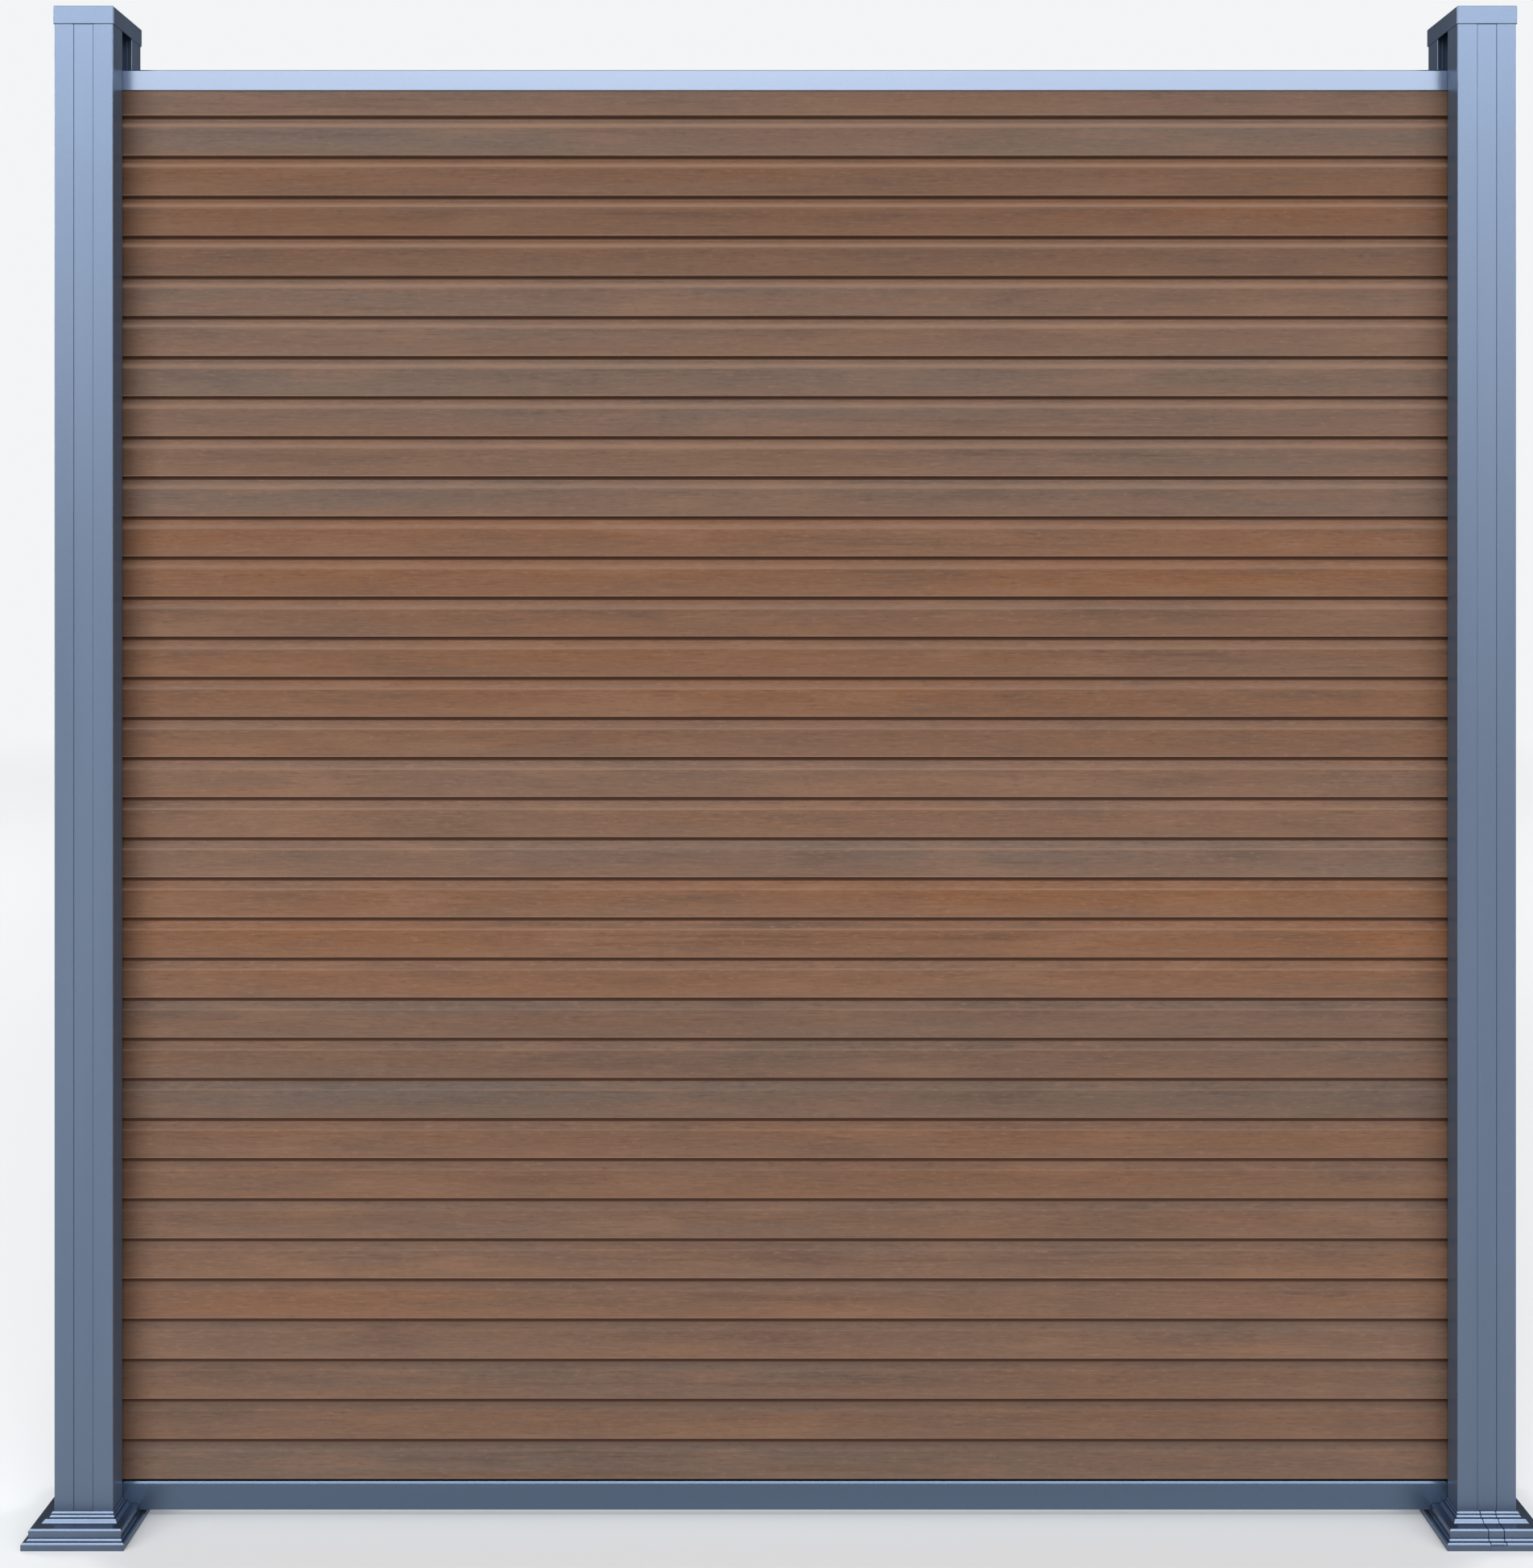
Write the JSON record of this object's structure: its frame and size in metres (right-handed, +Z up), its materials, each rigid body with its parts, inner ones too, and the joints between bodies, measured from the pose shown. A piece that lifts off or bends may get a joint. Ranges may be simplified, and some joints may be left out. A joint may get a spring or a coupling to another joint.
{
  "type": "composite fence panel",
  "caption": "Fence bay of stacked wood-plastic boards with lapped strips between slotted aluminium posts, with rails, caps and stepped foot skirts.",
  "frame": {"origin": "on the ground, midway between the posts and centred in their depth", "axes": "+X along the fence, +Y through it from front to back, +Z up"},
  "size_m": [1.8466, 0.1246, 1.8754],
  "materials": {
    "powder_coat": "satin blue-grey powder coat",
    "composite_board": "brushed brown wood-plastic composite with streaked grain",
    "skirt_plastic": "satin moulded plastic, blue-grey",
    "zinc_steel": "galvanised",
    "black_plastic": "moulded, black"
  },
  "bodies": {
    "root": {"top_rail": "powder_coat", "bottom_rail": "powder_coat", "board_01": "composite_board", "board_02": "composite_board", "board_03": "composite_board", "board_04": "composite_board", "board_05": "composite_board", "board_06": "composite_board", "board_07": "composite_board", "board_08": "composite_board", "board_09": "composite_board", "board_10": "composite_board", "board_11": "composite_board", "board_12": "composite_board", "left_post": "powder_coat", "left_front_cover_strip": "powder_coat", "left_back_cover_strip": "powder_coat", "left_outer_cover_strip": "powder_coat", "left_post_cap": "powder_coat", "left_foot": "zinc_steel", "left_post_screws": "zinc_steel", "left_rail_spacer": "black_plastic", "right_post": "powder_coat", "right_front_cover_strip": "powder_coat", "right_back_cover_strip": "powder_coat", "right_outer_cover_strip": "powder_coat", "right_post_cap": "powder_coat", "right_foot": "zinc_steel", "right_post_screws": "zinc_steel", "right_rail_spacer": "black_plastic", "left_skirt_front_half": "skirt_plastic", "left_skirt_back_half": "skirt_plastic", "right_skirt_inner_half": "skirt_plastic", "right_skirt_outer_half": "skirt_plastic"}
  },
  "joints": []
}
